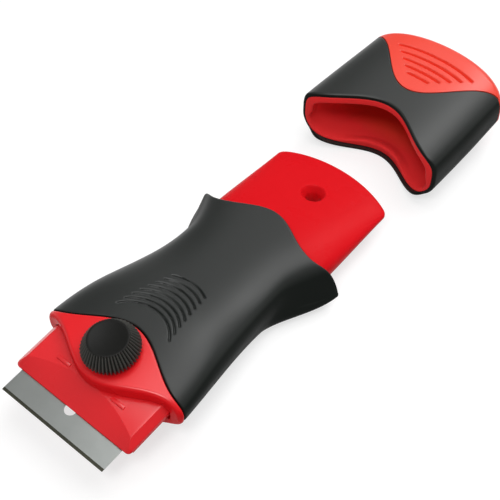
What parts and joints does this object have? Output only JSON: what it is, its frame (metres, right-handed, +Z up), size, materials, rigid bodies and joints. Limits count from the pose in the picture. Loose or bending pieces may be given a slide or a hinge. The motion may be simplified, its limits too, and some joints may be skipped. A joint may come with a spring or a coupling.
{
  "type": "razor blade scraper",
  "caption": "Pocket razor blade scraper: waisted soft-grip handle, blade clamped between two jaws by a knurled thumb screw, and a pull-off cap that slides onto the tail.",
  "frame": {"origin": "middle of the flat underside of the grip, where the scraper lies on a table", "axes": "+X along the handle from the blade to the tail and cap, +Z up out of the thumb side"},
  "size_m": [0.1895, 0.0558, 0.0296],
  "materials": {
    "handle_red": "satin moulded",
    "jaw_red": "satin moulded",
    "cap_red": "satin moulded",
    "grip_soft": "fine matt grain",
    "cap_soft": "fine matt grain",
    "blade_steel": "ground",
    "fastener_steel": "zinc plated",
    "knob_black": "moulded, fluted"
  },
  "bodies": {
    "handle": {"handle_core": "handle_red", "grip_sleeve": "grip_soft", "upper_jaw": "jaw_red"},
    "lower_jaw": {"lower_jaw": "jaw_red", "clamp_nut": "fastener_steel"},
    "blade": {"blade": "blade_steel"},
    "thumb_screw": {"knob": "knob_black", "clamp_screw": "fastener_steel", "knob_washer": "fastener_steel"},
    "cap": {"cap_shell": "cap_red", "cap_skin": "cap_soft"}
  },
  "joints": [
    {"name": "knob_turn", "type": "hinge", "parent": "handle", "child": "thumb_screw", "pos_m": [-0.04, 0, 0.0222], "axis": [-0.1045, 0, 0.9945], "range_deg": [0, 450]},
    {"name": "jaw_drop", "type": "slide", "parent": "handle", "child": "lower_jaw", "axis": [0.1045, 0, -0.9945], "range_m": [0, 0.001]},
    {"name": "blade_slide", "type": "slide", "parent": "lower_jaw", "child": "blade", "axis": [-0.9945, 0, -0.1045], "range_m": [0, 0.012]},
    {"name": "cap_slide", "type": "slide", "parent": "handle", "child": "cap", "axis": [-1, 0, 0], "range_m": [0, 0.049]}
  ],
  "couplings": [
    {"joint": "knob_turn", "follows": "jaw_drop", "rad_per_m": 7854}
  ]
}
